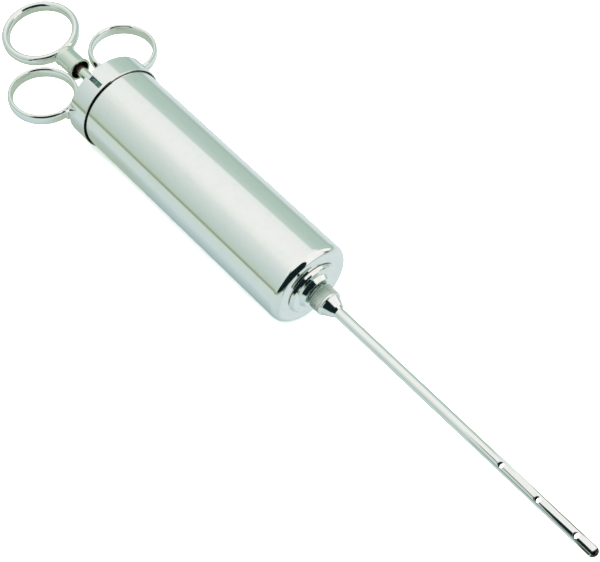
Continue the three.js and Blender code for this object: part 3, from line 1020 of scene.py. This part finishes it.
def recess(g, place, radial):
    """Painted shade in the hub's recess: near black deeper than its mouth."""
    inside = g.step(radial, HUB_RECESS_R + 0.12, HUB_RECESS_R - 0.02)
    deep = g.step(g.split(place)[0], HUB_FRONT - 0.1, HUB_FRONT - 0.8)
    return g.math("MULTIPLY", inside, deep), (0.020, 0.030, 0.020, 1)


def painted_bore_shade(g, place, radial):
    """Painted shade: the inside of the needle is painted nearly black."""
    return g.step(radial, NEEDLE_R - 0.05, NEEDLE_R - 0.25), (0.010, 0.014, 0.012, 1)


def green_knurl(g, place, radial):
    """Verdigris in the knurling, most of it next to the nozzle."""
    station = g.split(place)[0]
    knurled = g.step(station, KNURL_END + 0.5, KNURL_END - 0.5)
    near = g.step(station, KNURL_END, NUT_REAR, 0.25, 0.95)
    low = g.step(radial, KNURL_R, KNURL_R - KNURL_DEPTH, 0.6, 1.0)
    return g.math("MULTIPLY", g.math("MULTIPLY", near, low), knurled), (0.20, 0.38, 0.28, 1)


PLATE = (0.88, 0.90, 0.885)
# painted shade: a duller, greener copy of the plate, darkened to match the hub's darker
# reflections; the rod shares it
SHADED_HUB_PLATE = (0.73, 0.79, 0.71)  # duller than the rest
MATERIALS = {
    "barrel_nickel": nickel("barrel_plate", PLATE, 0.05, soil_and_shade=groove_grease_and_shade),
    "cap_nickel": nickel("cap_plate", PLATE, 0.07, soil_and_shade=skirt),
    "ring_nickel": nickel("ring_plate", PLATE, 0.06, turned=False, swell=0.006, pitch=7.0),
    "hub_nickel": nickel("hub_plate_painted_shade", SHADED_HUB_PLATE, 0.07, swell=0.004, pitch=5.0, soil_and_shade=recess),
    "rod_nickel": nickel("rod_plate_painted_shade", SHADED_HUB_PLATE, 0.08, swell=0.002, pitch=4.0, soil_and_shade=worn_rod),
    "needle_nickel": nickel("needle_plate", PLATE, 0.06, swell=0.0015, pitch=4.0, soil_and_shade=painted_bore_shade),
    "knurl_nickel": nickel("knurl_plate", PLATE, 0.06, swell=0.0015, pitch=4.0,
                           soil_and_shade=green_knurl),
    "brass": brass(),
    "leather": leather(),
    "rubber": rubber(),
}


def fit(obj, node, body, slot, finish=None):
    """obj takes the place of a CAD node on its body, with its slot's finish or its own."""
    obj.data.materials.clear()
    obj.data.materials.append(MATERIALS[finish or slot])
    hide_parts(node)
    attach(obj, body)


fit(build_barrel(), "barrel_tube", "barrel", "barrel_nickel")
fit(build_collar(), "bayonet_collar", "barrel", "barrel_nickel")
fit(build_nozzle(), "nozzle", "barrel", "barrel_nickel")
fit(build_cap(), "cap_plate", "cap", "barrel_nickel", "cap_nickel")
fit(build_bush(), "rod_bush", "cap", "barrel_nickel")
fit(build_packing(), "rod_packing", "cap", "leather")
for hand, side in (("left", 1), ("right", -1)):
    fit(build_pin(f"pin_{hand}", side), f"bayonet_pin_{hand}", "cap", "brass")
    ring = flat_ring(f"ring_{hand}", f"finger_ring_{hand}", FINGER_SECTION, FINGER_SQUARENESS)
    fit(ring, f"finger_ring_{hand}", "cap", "ring_nickel")
    fit(build_foot(f"foot_{hand}", side), f"ring_foot_{hand}", "cap", "ring_nickel")
fit(build_rod(), "plunger_rod", "plunger", "rod_nickel")
fit(build_hub(), "thumb_hub", "plunger", "ring_nickel", "hub_nickel")
thumb_loop = flat_ring("thumb_loop", "thumb_ring", THUMB_SECTION, THUMB_SQUARENESS, THUMB_TWIST)
fit(thumb_loop, "thumb_ring", "plunger", "ring_nickel")
fit(build_nut("front_nut", "piston_nut"), "piston_nut", "plunger", "brass")
fit(build_nut("lock_nut", "piston_lock_nut"), "piston_lock_nut", "plunger", "brass")
fit(build_plate("front_plate", "piston_front_plate", BIG_FACETS), "piston_front_plate", "plunger",
    "rod_nickel")
fit(build_plate("rear_plate", "piston_rear_plate", BIG_FACETS), "piston_rear_plate", "plunger",
    "rod_nickel")
fit(build_cup("cup_front", "front_cup", True), "front_cup", "packing", "leather")
fit(build_cup("cup_rear", "rear_cup", False), "rear_cup", "packing", "leather")
fit(build_plate("spacer", "cup_spacer", SMALL_FACETS), "cup_spacer", "packing", "brass")
fit(build_plate("gasket", "needle_gasket", SMALL_FACETS, 0.2), "needle_gasket", "gasket", "rubber")
fit(build_needle_nut(), "needle_nut", "needle", "needle_nickel", "knurl_nickel")
fit(build_needle(), "needle_tube", "needle", "needle_nickel")
fit(build_tip(), "needle_tip", "needle", "needle_nickel")

# ------------------------------------------------------------------ studio
#
# The tones and the cards' outlines were fitted by tracing which way the photograph's
# reflections point. They suit the camera's view best.

FLOOR_SIZE = 12.0
FLOOR_HEIGHT = -0.00005
SHADOW_REAR, SHADOW_FRONT = -125, 60  # stations
SHADOW_HALF_WIDTH = 70
SHADOW_HEIGHT = 0.0002
TOWARD_FAR_SIDE = (-0.12, 0.2)  # where the near side's tones give way to the far side's


def sheet(name, corners, material):
    """A flat staged piece through corners in metres."""
    mesh = bpy.data.meshes.new(name)
    mesh.from_pydata(corners, [], [tuple(range(len(corners)))])
    mesh.materials.append(material)
    obj = bpy.data.objects.new(name, mesh)
    bpy.context.scene.collection.objects.link(obj)
    return obj


def for_reflections_only(obj):
    obj.visible_camera = False
    obj.visible_diffuse = False
    obj.visible_shadow = False


def oblong(rear, front, left, right, height):
    """Corners of a level rectangle."""
    return [(x, y, height) for x, y in (
        (rear, left), (front, left), (front, right), (rear, right),
    )]


def build_floor():
    """The pale floor. Reflections see the studio's lower tones instead of it."""
    material = bpy.data.materials.new("pale_paper")
    g = Graph(material)
    grain = g.noise(g.add("TexCoord").outputs["Object"], 3.0, 2.0)
    g.surface({"Base Color": g.mix(grain, grey(0.90), grey(0.93)), "Roughness": 0.9})
    half = FLOOR_SIZE / 2
    floor = sheet("floor", oblong(-half, half, -half, half, FLOOR_HEIGHT), material)
    floor.visible_glossy = False


def studio():
    """Pale all round for the camera. Reflections see a lit ceiling, grey-green walls that end
    at a crisp edge on the far side, an olive skirting, and a pale floor with a soft shadow."""
    world = bpy.data.worlds.new("studio")
    bpy.context.scene.world = world
    g = Graph(world)
    toward = g.add("TexCoord").outputs["Generated"]
    y, z = g.split(toward)[1:]
    height = g.math("ADD", g.math("DIVIDE", g.math("ARCSINE", z), pi), 0.5)
    near = g.ramp(height, NEAR_SIDE)
    far = g.ramp(height, FAR_SIDE)
    tone = g.mix(g.step(y, *TOWARD_FAR_SIDE), near, far)
    below = g.add("VectorMath", {0: toward, 1: SHADOW_TOWARD}, operation="DOT_PRODUCT").outputs[1]
    away = g.math("ARCCOSINE", below)
    shadow = g.add("Math", {0: 1.0, 1: g.math("DIVIDE", away, radians(SHADOW_REACH))},
                   operation="SUBTRACT", use_clamp=True).outputs[0]
    tone = g.mix(shadow, tone, seen(152, 173, 173))
    tone = g.mix(g.add("LightPath").outputs["Is Camera Ray"], tone, grey(1.0))
    fill = g.step(g.add("LightPath").outputs["Is Diffuse Ray"], 0, 1, 1.0, FILL)
    shade = g.add("Background", {"Color": tone, "Strength": fill})
    output = g.add("OutputWorld")
    g.tree.links.new(shade.outputs[0], output.inputs["Surface"])


def contact_shadow():
    """What the rings and the hub see below them: the floor in the object's own shadow."""
    material = bpy.data.materials.new("contact_shadow")
    g = Graph(material)
    x, y, z = g.split(place_in_mm(g))
    across = g.step(g.math("ABSOLUTE", y), 50, 14)
    along = g.math("MULTIPLY", g.step(x, -118, -80), g.step(x, 52, 5))
    cloth = g.noise(g.join(x, y, z), 0.06, 3.0)
    dark = g.mix(cloth, seen(156, 175, 156), seen(178, 191, 174))
    clear = g.add("BsdfTransparent")
    glow = g.add("Emission", {"Color": dark, "Strength": 1.0})
    both = g.add("MixShader", {0: g.math("MULTIPLY", across, along)})
    g.tree.links.new(clear.outputs[0], both.inputs[1])
    g.tree.links.new(glow.outputs[0], both.inputs[2])
    output = g.add("OutputMaterial")
    g.tree.links.new(both.outputs[0], output.inputs["Surface"])
    half = SHADOW_HALF_WIDTH * MM
    corners = oblong(SEAM + SHADOW_REAR * MM, SEAM + SHADOW_FRONT * MM, -half, half, SHADOW_HEIGHT)
    for_reflections_only(sheet("contact_shadow", corners, material))


def card(name, colour, station, middle, facing, outline):
    """A card that only reflections see. It stands upright across the bearing that it faces,
    and outline gives its corners as bearings and elevations from a station of the axis."""
    eye = Vector((SEAM + station * MM, 0, AXIS_Z))
    corners = []
    for bearing, elevation in outline:
        run = middle / cos(radians(bearing - facing))
        corners.append(eye + run * Vector((
            cos(radians(bearing)), sin(radians(bearing)), tan(radians(elevation))
        )))
    material = bpy.data.materials.new(name)
    g = Graph(material)
    cloth = g.noise(g.add("TexCoord").outputs["Object"], 9.0, 3.0)
    glow = g.add("Emission", {"Color": colour, "Strength": g.step(cloth, 0.2, 0.8, 0.93, 1.07)})
    output = g.add("OutputMaterial")
    g.tree.links.new(glow.outputs[0], output.inputs["Surface"])
    for_reflections_only(sheet(name, corners, material))


def seen(red, green, blue):
    """The light that shows in the nickel as this display colour."""

    def linear(value):
        value /= 255
        return value / 12.92 if value <= 0.04045 else ((value + 0.055) / 1.055) ** 2.4

    return tuple(linear(v) / p for v, p in zip((red, green, blue), PLATE)) + (1,)


NEAR_SIDE = (  # elevation in degrees, and the tone there, on the -Y side
    (-62, seen(190, 209, 208)),
    (-35, seen(197, 214, 213)),
    (-12.5, seen(201, 215, 206)),
    (-9.5, seen(152, 170, 148)),
    (-8, seen(133, 148, 123)),
    (-3, seen(182, 197, 181)),
    (8, seen(187, 204, 197)),
    (27, seen(200, 213, 209)),
    (41, seen(214, 222, 218)),
    (53, seen(232, 236, 231)),
    (66, seen(237, 239, 235)),
)
FAR_SIDE = (
    (-62, seen(206, 219, 219)),
    (-35, seen(213, 223, 223)),
    (-14, seen(205, 219, 217)),
    (-4, seen(164, 185, 174)),
    (5, seen(171, 193, 181)),
    (27, seen(177, 198, 187)),
    (40.5, seen(188, 205, 195)),
    (44.5, seen(228, 234, 229)),
    (62, seen(237, 238, 234)),
)
SHADOW_TOWARD = (-0.42, 0.08, -0.905)
SHADOW_REACH = 46
FILL = 3.0  # how much stronger the floor sees the studio than the reflections do

build_floor()
studio()
contact_shadow()
DARK = (0.004, 0.013, 0.016, 1)
DARK_CUFF = (0.03, 0.05, 0.045, 1)
card("dark_stand", DARK, BARREL_FRONT, 1.2, -35, (
    (-82, -4), (-80, 8), (-76, 18), (-74, 30), (-75, 42), (-68, 49), (-60, 54), (-45, 58),
    (-30, 61), (-15, 63.5), (-3, 62), (6, 58), (11, 50), (13, 30), (13, -4),
))
card("white_card", seen(244, 243, 240), BARREL_FRONT, 0.19, 50, (
    (13.5, 5), (80, 5), (80, 70), (13.5, 70),
))
card("dark_sleeve", DARK, HOLES[1], 0.15, -90, (
    (-127, 49), (-116, 42), (-105.5, 33), (-101, 15), (-97, 2), (-70, 2), (-70, 52), (-86, 58),
    (-104, 56), (-107, 50), (-108, 44), (-116, 50), (-127, 56),
))
card("dark_cuff", DARK_CUFF, HOLES[1], 0.06, -90, (
    (-130, -4), (-102, -6), (-60, -8.5), (-60, -50), (-79, -50), (-84, -19), (-102, -18),
    (-130, -11),
))
card("grey_edge", seen(122, 127, 122), HOLES[1], 0.15, 90, (
    (106, 9), (99, -4), (78, -4), (78, 24), (99, 22), (106, 12),
))


def lamp(name, location, target, size, power):
    light = bpy.data.lights.new(name, "AREA")
    light.shape = "DISK"
    light.size = size
    light.energy = power
    obj = bpy.data.objects.new(name, light)
    obj.location = location
    obj.rotation_euler = (Vector(target) - Vector(location)).to_track_quat("-Z", "Y").to_euler()
    obj.visible_glossy = False
    bpy.context.scene.collection.objects.link(obj)


lamp("overhead", (0.1, 0.1, 1.6), (0, 0, 0), 1.8, 80)

# ------------------------------------------------------------------ camera

AZIMUTH = 45.15
ELEVATION = 53.3
ROLL = 4.39  # how far the world's up leans to the right
TARGET = Vector((18.9, -1.5, 20.1)) * MM
DISTANCE = 588.8 * MM
LENS = 89.46

ahead = Vector((
    -sin(radians(AZIMUTH)) * cos(radians(ELEVATION)),
    cos(radians(AZIMUTH)) * cos(radians(ELEVATION)),
    -sin(radians(ELEVATION)),
))
level_right = ahead.cross(Vector((0, 0, 1))).normalized()
level_up = level_right.cross(ahead)
up = level_up * cos(radians(ROLL)) - level_right * sin(radians(ROLL))
right = level_right * cos(radians(ROLL)) + level_up * sin(radians(ROLL))
camera_data = bpy.data.cameras.new("camera")
camera_data.lens = LENS
camera_data.sensor_width = 36
camera_data.clip_start = 0.01
camera = bpy.data.objects.new("camera", camera_data)
bpy.context.scene.collection.objects.link(camera)
turn = Matrix((right, up, -ahead)).transposed().to_4x4()
camera.matrix_world = Matrix.Translation(TARGET - ahead * DISTANCE) @ turn
bpy.context.scene.camera = camera
bpy.context.scene.view_settings.view_transform = "Standard"
